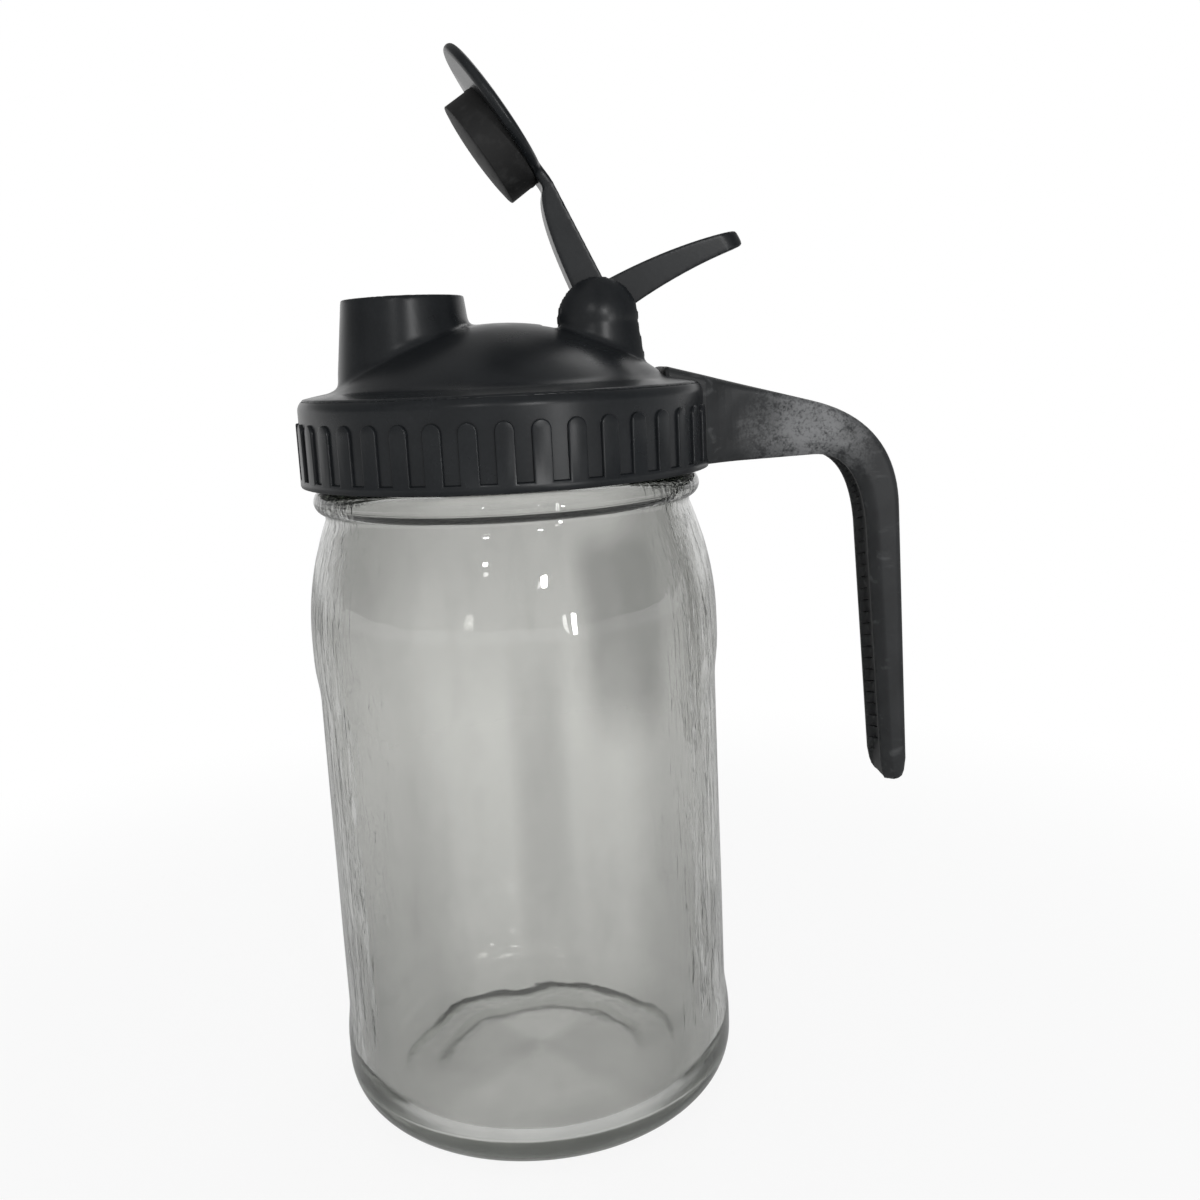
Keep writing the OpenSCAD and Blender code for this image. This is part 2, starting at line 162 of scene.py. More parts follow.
def place_camera():
    """Camera at the viewing point: just over the lid, looking down a little and to the right."""
    place = Vector((0, -0.29713, 0.17909))
    pitch, yaw, roll = 0.190579, 0.068964, -0.048978
    focal, sensor = 37.594, 36.0
    level = math.cos(pitch)
    ahead = Vector((math.sin(yaw) * level, math.cos(yaw) * level, -math.sin(pitch)))
    right = Vector((math.cos(yaw), -math.sin(yaw), 0))
    up = right.cross(ahead)
    turned_right = right * math.cos(roll) + up * math.sin(roll)
    turned_up = up * math.cos(roll) - right * math.sin(roll)
    camera = bpy.data.objects.new("camera", bpy.data.cameras.new("camera"))
    camera.data.lens = focal
    camera.data.sensor_width = sensor
    camera.data.clip_start = 0.01
    axes = Matrix((turned_right, turned_up, -ahead)).transposed()
    camera.matrix_world = Matrix.Translation(place) @ axes.to_4x4()
    bpy.context.collection.objects.link(camera)
    bpy.context.scene.camera = camera


place_camera()


# ------------------------------------------------------------------ shader nodes

class Socket:
    """An output of a shader node; the operators on it add Math nodes."""

    def __init__(self, shading, output):
        self.shading = shading
        self.output = output

    def math(self, operation, first, second):
        return self.shading.add("ShaderNodeMath", {"operation": operation}, {0: first, 1: second})

    def __add__(self, other):
        return self.math("ADD", self, other)

    def __radd__(self, other):
        return self.math("ADD", other, self)

    def __sub__(self, other):
        return self.math("SUBTRACT", self, other)

    def __rsub__(self, other):
        return self.math("SUBTRACT", other, self)

    def __mul__(self, other):
        return self.math("MULTIPLY", self, other)

    def __rmul__(self, other):
        return self.math("MULTIPLY", other, self)


class Shading:
    """The node tree of one material, or of the world."""

    def __init__(self, name, world=False):
        self.block = (bpy.data.worlds if world else bpy.data.materials).new(name)
        self.block.use_nodes = True
        self.tree = self.block.node_tree
        self.tree.nodes.clear()
        self.end = self.tree.nodes.new("ShaderNodeOutputWorld" if world else "ShaderNodeOutputMaterial")
        self.place = self.add("ShaderNodeTexCoord", output="Generated" if world else "Object")

    def add(self, kind, settings=None, sockets=None, output=0):
        """Adds a node: its settings first, then the values or links of its sockets."""
        node = self.tree.nodes.new(kind)
        for key, value in (settings or {}).items():
            setattr(node, key, value)
        for key, value in (sockets or {}).items():
            if isinstance(value, Socket):
                self.tree.links.new(value.output, node.inputs[key])
            else:
                node.inputs[key].default_value = value
        return Socket(self, node.outputs[output])

    def noise(self, size, detail=2.0, place=None, seed=0.0):
        """Noise from 0 to 1 whose blotches are about size mm across."""
        settings = {"noise_dimensions": "4D"}
        sockets = {"Vector": place or self.place, "W": seed, "Scale": 1 / (size * MM), "Detail": detail}
        return self.add("ShaderNodeTexNoise", settings, sockets)

    def stretched(self, x, y, z):
        """Object coordinates scaled by x, y and z, so that a pattern is drawn out along an axis."""
        return self.add("ShaderNodeMapping", {}, {"Vector": self.place, "Scale": (x, y, z)})

    def axis(self, index):
        """One of the three coordinates: 0 to the right, 1 to the back, 2 up."""
        return self.add("ShaderNodeSeparateXYZ", {}, {0: self.place}, output=index)

    def step(self, value, low, high):
        """0 below low, 1 above high, and smooth in between."""
        sockets = {"Value": value, "From Min": low, "From Max": high}
        return self.add("ShaderNodeMapRange", {"interpolation_type": "SMOOTHSTEP"}, sockets)

    def mix(self, factor, first, second):
        """A colour between two that are given as red, green and blue or as sockets."""
        sockets = {0: factor}
        for key, value in ((6, first), (7, second)):
            sockets[key] = value if isinstance(value, Socket) else (*value, 1)
        return self.add("ShaderNodeMix", {"data_type": "RGBA"}, sockets, output=2)

    def bump(self, height, depth):
        """A normal from a height from 0 to 1 that stands for depth mm."""
        return self.add("ShaderNodeBump", {}, {"Height": height, "Distance": depth * MM, "Strength": 1.0})

    def ray(self, way):
        """1 for rays of one kind, 0 for the others."""
        return self.add("ShaderNodeLightPath", output=f"Is {way} Ray")

    def seen(self):
        """1 for what the camera sees, by itself or through glass."""
        direct = self.ray("Camera")
        return direct.math("MAXIMUM", direct, self.ray("Transmission"))

    def mirrored(self):
        """1 for what a surface mirrors. Rays through rough glass count as glossy too, and are left out."""
        return self.ray("Glossy") * (1 - self.ray("Transmission"))

    def toward(self, azimuth, half, fade):
        """1 in the directions within half degrees of an azimuth round the jar, 0 past fade more."""
        a = math.radians(azimuth)
        level = self.add("ShaderNodeVectorMath", {"operation": "MULTIPLY"}, {0: self.place, 1: (1, 1, 0)})
        flat = self.add("ShaderNodeVectorMath", {"operation": "NORMALIZE"}, {0: level})
        facing = {0: flat, 1: (math.sin(a), -math.cos(a), 0)}
        along = self.add("ShaderNodeVectorMath", {"operation": "DOT_PRODUCT"}, facing, output=1)
        return self.step(along, math.cos(math.radians(half + fade)), math.cos(math.radians(half)))

    def sides(self, half, fade):
        """0 within half degrees of the front and of the back, 1 on the two sides, past fade more."""
        return 1 - self.toward(FRONT, half, fade) - self.toward(BACK, half, fade)

    def blend(self, factor, first, second):
        """A surface, or a background, between two others."""
        return self.add("ShaderNodeMixShader", {}, {0: factor, 1: first, 2: second})

    def light(self, kind, colour, strength=1.0):
        """A node that shines by itself: Emission for a surface, Background for the world."""
        return self.add(f"ShaderNode{kind}", {}, {"Color": (*colour, 1), "Strength": strength})

    def opaque(self, colour, roughness, normal, ior, specular):
        """An opaque surface of plastic or rubber, and the end of the tree."""
        sockets = {"Base Color": colour, "Roughness": roughness, "Normal": normal,
                   "IOR": ior, "Specular IOR Level": specular}
        return self.finish(self.add("ShaderNodeBsdfPrincipled", {}, sockets))

    def finish(self, surface, volume=None):
        """Ends the tree in surface, and in volume where there is one, and returns what it belongs to."""
        self.tree.links.new(surface.output, self.end.inputs["Surface"])
        if volume:
            self.tree.links.new(volume.output, self.end.inputs["Volume"])
        return self.block


def grey(value, blue=1.0):
    """A linear grey, a little blue where blue is over 1."""
    return (value, value * (1 + (blue - 1) / 2), value * blue)


# ------------------------------------------------------------------ materials

def painted_shade_and_smears(s, smears):
    """Soft bands and clouds of painted reflection and painted shade in the tint of the glass, with its real
    smears, from 0 to 1, at heights in metres.
    """
    y, z = s.axis(1), s.axis(2)
    # Painted reflections: cloudy bands, a narrow dark band and a dark patch, kept by front to the half that
    # faces the camera
    cloud = 0.25 * s.step(s.noise(26, 1.0, place=s.stretched(1, 1, 0.3), seed=7.0), 0.36, 0.64)
    painted_dark_band = 0.36 * s.toward(4, 0, 9) * s.step(z, 0.035, 0.085) * (1 - s.step(z, 0.100, 0.140))
    patch = 0.75 * s.toward(29, 3, 12) * s.step(z + 0.1 * y, 0.090, 0.108) * (1 - s.step(z, 0.136, 0.146))
    # Painted shade: ends darkens the shoulder and the lower part of the jar
    ends = 0.28 * s.step(z, 0.105, 0.135) + 0.3 * (1 - s.step(z, 0.030, 0.085))
    front = 1 - s.step(y, -0.012, 0.012)
    # The sum of the painted reflections, the painted shade at the ends and on the flanks, and the real
    # smears
    streaks = (cloud + painted_dark_band + patch) * front + ends + 0.25 * s.sides(30, 20) + 0.15 * smears
    return streaks.math("MINIMUM", streaks, 1.0)


def glass_relief(s, base):
    """Soft waves of pressed glass, drawn streaks down its sides and a mottled base."""
    waves = 0.88 * s.noise(14, 1.0) + 0.12 * s.noise(3.5, 2.0, seed=4.0)
    mottle = s.noise(7, 3.0, seed=5.0)
    drawn = s.step(s.noise(1.8, 3.0, place=s.stretched(1, 1, 0.12), seed=6.0), 0.5, 0.66)
    wall = s.step(s.axis(2), 0.012, 0.04)
    return waves * wall + mottle * base + 0.3 * drawn * s.sides(42, 10) * wall


def jar_glass():
    """Pressed glass with a light smoky tint and a faint film of smears, rougher under its foot. Its colour
    is darkened by painted reflections and painted shade.
    """
    s = Shading("jar_glass")
    smears = s.step(s.noise(9, 5.0, place=s.stretched(1, 1, 0.35), seed=2.0), 0.52, 0.72)
    base = 1 - s.step(s.axis(2), 0.005, 0.015)
    # The colour turns from the pale tint to the dark one under the painted reflections, the painted shade
    # and the smears
    tint = s.mix(painted_shade_and_smears(s, smears), PALE_TINT, SHADE_AND_SMEAR_TINT)
    roughness = 0.012 + 0.06 * smears + 0.16 * base
    normal = s.bump(glass_relief(s, base), RELIEF_DEPTH)
    glass = s.add("ShaderNodeBsdfPrincipled", {}, {
        "Base Color": tint, "Roughness": roughness, "IOR": 1.5, "Transmission Weight": 1.0,
        "Normal": normal})
    clear = s.add("ShaderNodeBsdfTransparent", {}, {"Color": SHADOW_TINT})
    body = s.add("ShaderNodeVolumeAbsorption", {}, {"Color": BODY_TINT, "Density": BODY_DENSITY})
    return s.finish(s.blend(s.ray("Shadow"), glass, clear), body)


def moulded(name, dark, light, gloss, seed):
    """Moulded black plastic: mottled, with flow marks and a fine grain."""
    s = Shading(name)
    cloud = s.noise(11, 4.0, seed=seed)
    speck = s.noise(0.9, 3.0, seed=seed + 1)
    fine = s.noise(0.28, 2.0, seed=seed + 2)
    rub = s.step(s.noise(16, 6.0, seed=seed + 3), 0.5, 0.74)
    colour = s.mix(s.step(cloud * 0.7 + speck * 0.3, 0.35, 0.68), grey(dark, 1.3), grey(light, 1.26))
    normal = s.bump(fine * 0.6 + speck * 0.4, 0.012)
    return s.opaque(colour, gloss + 0.1 * cloud - 0.09 * rub, normal, ior=1.49, specular=0.32)


def scuffed_plastic():
    """The handle's plastic: paler, dusty, finely scratched and rubbed pale at its bend."""
    s = Shading("handle_plastic")
    bend, bend_reach = (0.071, -0.006, 0.161), 0.020
    cloud = s.noise(9, 5.0, seed=11.0)
    speck = s.noise(0.7, 3.0, seed=12.0)
    dust = s.noise(0.45, 2.0, seed=15.0)
    patch = s.noise(3.2, 3.0, seed=16.0)
    scratch = s.step(s.noise(2.2, 4.0, place=s.stretched(0.25, 1.6, 0.9), seed=13.0), 0.56, 0.72)
    away = s.add("ShaderNodeVectorMath", {"operation": "DISTANCE"}, {0: s.place, 1: bend}, output=1)
    rub = 1 - s.step(away + 0.016 * (cloud - 0.5), 0.001, bend_reach)
    worn = rub * s.step(0.4 * speck + 0.25 * dust + 0.35 * patch + 0.10 * rub, 0.42, 0.64)
    base = s.mix(s.step(cloud, 0.3, 0.7), grey(0.018, 1.12), grey(0.030, 1.1))
    colour = s.mix(worn * 0.9 + scratch * 0.15, base, grey(0.26, 1.02))
    normal = s.bump(speck * 0.5 + scratch * 0.5, 0.035)
    return s.opaque(colour, 0.44 + 0.12 * cloud, normal, ior=1.49, specular=0.4)


def silicone():
    """Soft dark silicone with a dusty bloom."""
    s = Shading("silicone")
    dust = s.step(s.noise(2.5, 5.0, seed=21.0), 0.45, 0.8)
    colour = s.mix(dust, grey(0.016), grey(0.034))
    normal = s.bump(s.noise(0.5, 3.0, seed=22.0), 0.02)
    return s.opaque(colour, 0.58 + 0.15 * dust, normal, ior=1.43, specular=0.35)


# ------------------------------------------------------------------ shaping

def at_angle(centre, radius, degrees):
    """The point of a circle at an angle."""
    a = math.radians(degrees)
    return (centre[0] + radius * math.cos(a), centre[1] + radius * math.sin(a))


def arc(centre, radius, start, end, steps):
    """Points along an arc, with angles in degrees."""
    return [at_angle(centre, radius, start + (end - start) * i / steps) for i in range(steps + 1)]


def curve(a, b, c, steps):
    """Points along a quadratic curve from a to c that b pulls on."""
    points = []
    for i in range(steps + 1):
        t = i / steps
        w = ((1 - t) ** 2, 2 * t * (1 - t), t * t)
        points.append(tuple(w[0] * a[k] + w[1] * b[k] + w[2] * c[k] for k in (0, 1)))
    return points


def line(a, b, steps):
    """Points from a towards b, without b."""
    return [tuple(a[k] + (b[k] - a[k]) * i / steps for k in (0, 1)) for i in range(steps)]


def refined(profile, gap):
    """The profile with points added so that none lie further than gap apart."""
    points = []
    for a, b in zip(profile, profile[1:]):
        points += line(a, b, max(1, math.ceil(math.dist(a, b) / gap)))
    return points + [profile[-1]]


def soft(value, low, high):
    """0 below low, 1 above high, and smooth in between."""
    t = min(max((value - low) / (high - low), 0), 1)
    return t * t * (3 - 2 * t)


def turn(bm, degrees, axis, centre=(0, 0, 0)):
    """Turns the bmesh about an axis through centre."""
    bmesh.ops.rotate(bm, verts=bm.verts, cent=centre, matrix=Matrix.Rotation(math.radians(degrees), 3, axis))
    return bm


def shift(bm, offset):
    """Moves the bmesh by offset."""
    bmesh.ops.translate(bm, verts=bm.verts, vec=offset)
    return bm


def lathe(profile, steps, x=0.0):
    """A closed outline of (radius, height) points turned round an upright axis at x."""
    bm = bmesh.new()
    verts = [bm.verts.new((r, 0, z)) for r, z in profile]
    edges = [bm.edges.new(pair) for pair in zip(verts, verts[1:] + verts[:1])]
    bmesh.ops.spin(bm, geom=verts + edges, cent=(0, 0, 0), axis=(0, 0, 1), angle=TAU,
                   steps=steps, use_merge=True)
    bmesh.ops.remove_doubles(bm, verts=bm.verts, dist=1e-4)
    bmesh.ops.dissolve_degenerate(bm, edges=bm.edges, dist=1e-4)
    shift(bm, (x, 0, 0))
    bmesh.ops.recalc_face_normals(bm, faces=bm.faces)
    return bm


def slab(outline, width):
    """An outline in the XZ plane, extruded to both sides of it."""
    bm = bmesh.new()
    face = bm.faces.new([bm.verts.new((x, -width / 2, z)) for x, z in outline])
    grown = bmesh.ops.extrude_face_region(bm, geom=[face])
    tops = [v for v in grown["geom"] if isinstance(v, bmesh.types.BMVert)]
    bmesh.ops.translate(bm, verts=tops, vec=(0, width, 0))
    bmesh.ops.recalc_face_normals(bm, faces=bm.faces)
    return bm


def rod(centre, radius, length, segments=48):
    """A round rod along Y."""
    bm = bmesh.new()
    bmesh.ops.create_cone(bm, cap_ends=True, segments=segments, radius1=radius, radius2=radius, depth=length)
    return shift(turn(bm, 90, "X"), centre)


def block(low, high):
    """A block between two corners."""
    bm = bmesh.new()
    bmesh.ops.create_cube(bm, size=1)
    bmesh.ops.scale(bm, verts=bm.verts, vec=[b - a for a, b in zip(low, high)])
    return shift(bm, [(a + b) / 2 for a, b in zip(low, high)])


def joined(*parts):
    """One bmesh that holds all the parts."""
    whole = bmesh.new()
    for part in parts:
        mesh = bpy.data.meshes.new("part")
        part.to_mesh(mesh)
        part.free()
        whole.from_mesh(mesh)
        bpy.data.meshes.remove(mesh)
    return whole


def as_object(name, bm):
    """An object that holds the bmesh."""
    mesh = bpy.data.meshes.new(name)
    bm.to_mesh(mesh)
    bm.free()
    thing = bpy.data.objects.new(name, mesh)
    bpy.context.collection.objects.link(thing)
    return thing


def discard(thing):
    """Removes a helper object and its mesh."""
    mesh = thing.data
    bpy.data.objects.remove(thing)
    bpy.data.meshes.remove(mesh)


def with_modifier(bm, kind, **settings):
    """The bmesh after one modifier."""
    thing = as_object("work", bm)
    modifier = thing.modifiers.new(kind, kind)
    for key, value in settings.items():
        setattr(modifier, key, value)
    shaped = bpy.data.meshes.new_from_object(thing.evaluated_get(bpy.context.evaluated_depsgraph_get()))
    result = bmesh.new()
    result.from_mesh(shaped)
    bpy.data.meshes.remove(shaped)
    discard(thing)
    return result


def combined(bm, other, operation):
    """The bmesh cut by, fused with or kept within another one."""
    tool = as_object("tool", other)
    result = with_modifier(bm, "BOOLEAN", object=tool, operation=operation, solver="EXACT")
    discard(tool)
    return result


def cut(bm, *tools):
    """The bmesh with every tool cut out of it."""
    for tool in tools:
        bm = combined(bm, tool, "DIFFERENCE")
    return bm


def melted(size, *parts):
    """Overlapping solids melted into one skin of faces about size mm across."""
    return with_modifier(joined(*parts), "REMESH", mode="VOXEL", voxel_size=size, adaptivity=0)


def relax(bm, rounds, where=None):
    """Smooths the points that where picks, or all of them."""
    verts = [v for v in bm.verts if where is None or where(v.co)]
    for _ in range(rounds):
        bmesh.ops.smooth_vert(bm, verts=verts, factor=0.5, use_axis_x=True, use_axis_y=True, use_axis_z=True)


def relieve(bm, relief):
    """Moves each point away from the upright axis by relief(radius, angle, height)."""
    for v in bm.verts:
        radius = math.hypot(v.co.x, v.co.y)
        if radius > 1:
            angle = math.atan2(v.co.y, v.co.x)
            move = relief(radius, angle, v.co.z)
            v.co.x += move * math.cos(angle)
            v.co.y += move * math.sin(angle)


def piece(name, bm, body, slot, material, *nodes):
    """Turns a bmesh in mm into a finished piece that rides on a body and stands for CAD nodes."""
    bmesh.ops.scale(bm, verts=bm.verts, vec=(MM, MM, MM))
    thing = as_object(name, bm)
    thing.data.materials.append(material)
    thing.data.shade_smooth()
    thing.data.set_sharp_from_angle(angle=math.radians(38))
    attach(thing, body)
    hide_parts(*nodes)


# ------------------------------------------------------------------ jar

def thread_height(angle, z, start_z, turns):
    """Height of a screw thread's ridge at an angle in radians and a level."""
    run_out, crest = 0.08, 0.25
    height = 0
    for lap in range(2):
        along = angle / TAU % 1 + lap
        ends = soft(along, turns[0], turns[0] + run_out) * (1 - soft(along, turns[1] - run_out, turns[1]))
        off = abs(z - start_z - THREAD_LEAD * along) / THREAD_HALF
        height = max(height, THREAD_H * ends * (1 - soft(off, crest, 1)))
    return height


def underside_z(radius):
    """Height of the underside, which falls from the push-up to the foot in a slope and two soft steps."""
    steps = sum(depth * soft(radius, start, end) for depth, start, end in FOOT_STEPS)
    return max(0, PUSH_UP + 0.1 - FOOT_SLOPE * (radius - PUSH_UP_R) - steps)


def jar_outline():
    """The jar's wall as one closed outline, up the outside and down the inside."""
    middle_r, foot_gap, foot_rings, gap = 15, 0.6, 28, 2.4
    bottom, heel_top = FLOOR_Z - 1, 17.5
    foot = [(0, PUSH_UP + 0.3), (middle_r, PUSH_UP + 0.2)]
    foot += [(r, underside_z(r)) for r in (PUSH_UP_R + foot_gap * i for i in range(foot_rings))]
    heel = arc((FOOT_R, HEEL_R), HEEL_R, -79, 0, 15)
    shoulder_centre = (JAR_R - SHOULDER_R, SHOULDER_Z)
    shoulder = arc(shoulder_centre, SHOULDER_R, 0, SHOULDER_TURN, 12)
    bead = arc((NECK_R + BEAD_OUT, BEAD_Z), BEAD_R, -80, 78, 16)
    rim_z = JAR_H - RIM_ROUND
    rim = arc((NECK_R - RIM_ROUND, rim_z), RIM_ROUND, 0, 90, 5)
    rim += arc((MOUTH_R + RIM_ROUND, rim_z), RIM_ROUND, 90, 180, 5)
    neck_out = refined([(NECK_R, BEAD_Z + BEAD_R), rim[0]], THREAD_MESH)
    above, level, below = (0.8, BEAD_Z + 2.8), (2.4, BEAD_Z + 0.4), (0.9, BEAD_Z - 3.4)
    in_bead = curve(*((MOUTH_R + out, z) for out, z in (above, level, below)), 6)
    neck_in = [(MOUTH_R, BEAD_Z + 5.2)] + in_bead
    shoulder_in = arc(shoulder_centre, SHOULDER_R - WALL, SHOULDER_TURN, 0, 12)
    heel_in = curve((JAR_R - WALL, heel_top), (JAR_R - WALL - 0.3, bottom), (FLOOR_R, bottom), 18)
    floor = [(middle_r, bottom - 0.3), (0, bottom)]
    lower = refined(foot + heel + shoulder, gap) + bead
    return lower + neck_out + rim[1:] + refined(neck_in + shoulder_in + heel_in + floor, gap)


def panel_depth(angle, z):
    """Depth of the four flattened panels, each the face of a wider, off-centre drum."""
    fade = max(0, PANEL_LOW + PANEL_FADE - z, z - PANEL_HIGH + PANEL_FADE) / PANEL_FADE
    front = JAR_R - PANEL_DEPTH
    depth = 0
    for facing, half_turn in ((0, SIDE_TURN), (90, LABEL_TURN)):
        off = math.radians((math.degrees(angle) - facing + 90) % 180 - 90)
        if abs(off) > math.radians(half_turn):
            continue
        drum_x = (front ** 2 - JAR_R ** 2) / (2 * (front - JAR_R * math.cos(math.radians(half_turn))))
        drum_r = front - drum_x + fade * (PANEL_DEPTH + 0.2)
        reach = drum_x * math.cos(off) + math.sqrt(drum_r ** 2 - (drum_x * math.sin(off)) ** 2)
        depth = max(depth, JAR_R - reach)
    return depth


def jar_relief(radius, angle, z):
    """What lies outside the turned shape of the jar: panels, the thread and the waves of its walls."""
    outer_wave, inner_wave, inner_ripple, panel_inside = 0.07, 0.38, 0.1, 0.8
    low, high = FLOOR_Z, BEAD_Z - 6
    spot = Vector((math.cos(angle), math.sin(angle), z / WAVE_HEIGHT))
    if radius > JAR_R - WALL / 2 and HEEL_R < z < SHOULDER_Z:
        return outer_wave * noise.noise(spot * 2.3) - panel_depth(angle, z)
    if radius > NECK_R - 0.2 and BEAD_Z + BEAD_R < z < JAR_H - 2:
        return thread_height(angle, z, JAR_THREAD_Z, JAR_THREAD_TURNS)
    if 20 < radius < JAR_R - 2.5 and low < z < high:
        calm = soft(z, low + 6, low + 22) * (1 - soft(z, high - 8, high))
        waves = inner_wave * noise.noise(spot * 1.7) + inner_ripple * noise.noise(spot * 5.1)
        return calm * waves - panel_inside * panel_depth(angle, z)
    return 0


def build_jar(material):
    bm = lathe(jar_outline(), 180)
    relieve(bm, jar_relief)
    piece("glass_jar_wall", bm, "jar", "clear_glass", material, "glass_jar")


# ------------------------------------------------------------------ lid

def build_gasket(material):
    """Flat ring with rounded edges between the jar's rim and the lid's seat."""
    edge = 0.4
    low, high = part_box("lid_gasket")
    inner, outer = MOUTH_R - 0.6 + edge, high.x / MM - edge
    bottom, top = low.z / MM + edge, SEAT_Z - edge
    outline = []
    for k, corner in enumerate(((outer, bottom), (outer, top), (inner, top), (inner, bottom))):
        outline += arc(corner, edge, 90 * k - 90, 90 * k, 3)
    piece("gasket_ring", lathe(outline, 128), "gasket", "soft_seal", material, "lid_gasket")


def grip_pads():
    """Raised pads with arched tops, standing round the skirt except behind the handle."""
    foot, head, sunk, shy, edge = 1, 2.6, 0.6, 0.04, 0.34
    inner, outer = WALL_R - sunk, LID_R - shy
    arch = arc((0, BRIM_Z - SHOULDER_ROUND - head - PAD_W / 2), PAD_W / 2, 0, 180, 12)
    bm = slab([(PAD_W / 2, SKIRT_Z + foot)] + arch + [(-PAD_W / 2, SKIRT_Z + foot)], outer - inner)
    crown = [e for e in bm.edges if all(v.co.y < 0 for v in e.verts)]
    bmesh.ops.bevel(bm, geom=crown, offset=edge, offset_type="OFFSET", segments=3, profile=0.5,
                    affect="EDGES", material=-1)
    shift(turn(bm, 90, "Z"), ((inner + outer) / 2, 0, 0))
    pitch = 360 / PADS
    copies = PADS - PADS_LEFT_OUT - 1
    turn(bm, (PADS_LEFT_OUT // 2 + 1) * pitch, "Z")
    bmesh.ops.spin(bm, geom=bm.verts[:] + bm.edges[:] + bm.faces[:], cent=(0, 0, 0), axis=(0, 0, 1),
                   angle=math.radians(copies * pitch), steps=copies, use_duplicate=True)
    return bm


def bore_thread(radius, angle, z):
    """The thread inside the skirt, which stands in from the bore."""
    if abs(radius - BORE_R) > 0.01 or z > SEAT_Z - 0.5:
        return 0
    return -thread_height(angle, z, JAR_THREAD_Z - THREAD_LEAD / 2, LID_THREAD_TURNS)


def build_skirt(material):
    """Skirt with its pads, bottom band and rounded shoulder, and the thread inside."""
    edge, nick, lead_in, gap = 0.45, 0.13, 0.6, 3
    band_top, crease_z = SKIRT_Z + 2, BRIM_Z - 1.1
    band = [(BORE_R + lead_in, SKIRT_Z), (LID_R - edge, SKIRT_Z), (LID_R - nick, SKIRT_Z + nick),
            (LID_R, SKIRT_Z + edge), (LID_R, band_top - edge),
            (LID_R - 0.12, band_top - 0.1), (WALL_R, band_top + 0.15)]
    shoulder = arc((BRIM_R, BRIM_Z - SHOULDER_ROUND), SHOULDER_ROUND, 0, 46, 9)
    wall = refined([band[-1], shoulder[0]], gap)[1:]
    seam = [(BRIM_R + 1.75, crease_z), (BRIM_R - 1, crease_z), (CAVITY_R, crease_z),
            (CAVITY_R, SEAT_Z), (BORE_R, SEAT_Z)]
    bore = refined([(BORE_R, SEAT_Z - 0.3), (BORE_R, SKIRT_Z + lead_in)], THREAD_MESH)
    bm = lathe(band + wall + shoulder[1:] + seam + bore, 240)
    relieve(bm, bore_thread)
    piece("lid_skirt", combined(bm, grip_pads(), "UNION"), "lid", "lid_plastic", material, "pour_lid")


def dome_z(radius, sunk=0.0):
    """Height of the dome's outside at a distance from the lid axis."""
    return DOME_CENTRE_Z + math.sqrt((DOME_R - sunk) ** 2 - radius ** 2)


def dome_shell():
    """Brim and dome, hollow below."""
    brim_round, seat_gap, centre = 0.55, 0.1, (0, DOME_CENTRE_Z)
    foot_turn = math.degrees(math.asin(DOME_FOOT_R / DOME_R))
    hollow_turn = math.degrees(math.asin(CAVITY_R / (DOME_R - DOME_WALL)))
    edge = arc((BRIM_R + 1.35, BRIM_Z - 0.78), brim_round, -60, 60, 4)
    dome_foot = (DOME_FOOT_R + 0.6, dome_z(DOME_FOOT_R) + 0.02)
    brim = curve(edge[-1], (BRIM_R - 1, BRIM_Z + 0.25), dome_foot, 6)
    top = arc(centre, DOME_R, 90 - foot_turn, 90, 30)
    under = arc(centre, DOME_R - DOME_WALL, 90, 90 - hollow_turn, 24)
    seat = [(CAVITY_R, SEAT_Z + seat_gap), (BORE_R, SEAT_Z + seat_gap)]
    return lathe(edge + brim[1:] + top[1:] + under + seat, 144)


def spout_r(z):
    """Outer radius of the spout at a height."""
    return SPOUT_R + (SPOUT_TOP - z) * math.tan(math.radians(SPOUT_DRAFT))


def pour_spout():
    """Tapered spout with a rounded lip, starting just inside the dome."""
    lip, inner_lip, sunk = 0.42, 0.3, 0.6
    foot_z = dome_z(SPOUT_X + SPOUT_R) - sunk
    outline = [(spout_r(foot_z), foot_z)]
    outline += arc((SPOUT_R - lip, SPOUT_TOP - lip), lip, 0, 90, 4)
    outline += arc((SPOUT_BORE_R + inner_lip, SPOUT_TOP - inner_lip), inner_lip, 90, 180, 3)
    return lathe(outline + [(SPOUT_BORE_R, foot_z)], 120, -SPOUT_X)


def spout_bore():
    """The round way out through the dome, below the spout."""
    length, segments, middle_z = 60, 96, SPOUT_TOP - 20
    bore = rod((0, 0, 0), SPOUT_BORE_R, length, segments)
    return shift(turn(bore, 90, "X"), (-SPOUT_X, 0, middle_z))


def hinge_slot():
    """Room for the cap's hub and arm between the hinge ears."""
    reach = TOWER_R + 1.5
    low = (PIVOT.x - reach, -SLOT_W / 2, SLOT_FLOOR_Z)
    high = (PIVOT.x + reach, SLOT_W / 2, PIVOT.z + 2 * TOWER_R)
    return block(low, high)


def hinge_ears():
    """A thimble-shaped tower that the slot parts into two ears, bored for the cap's hub and pins."""
    sunk, hub_gap, pin_gap, back_from, back_to = 0.8, 0.3, 0.15, 4, 20
    foot_z = dome_z(PIVOT.x + TOWER_R) - sunk
    foot_r = TOWER_R + (PIVOT.z - foot_z) * math.tan(math.radians(EAR_LEAN))
    thimble = arc((0, PIVOT.z), TOWER_R, -EAR_LEAN, 90, 24)
    tower = lathe([(0, foot_z), (foot_r, foot_z)] + thimble, 96, PIVOT.x)
    back = block((PIVOT.x + back_from, -SLOT_W / 2, foot_z - 1), (PIVOT.x + back_to, SLOT_W / 2, PIVOT.z))
    hub_room = rod(PIVOT, HUB_R + hub_gap, SLOT_W)
    pin_sockets = rod(PIVOT, PIN_R + pin_gap, SLOT_W + 2 * PIN_LEN)
    return cut(tower, hinge_slot(), back, hub_room, pin_sockets)


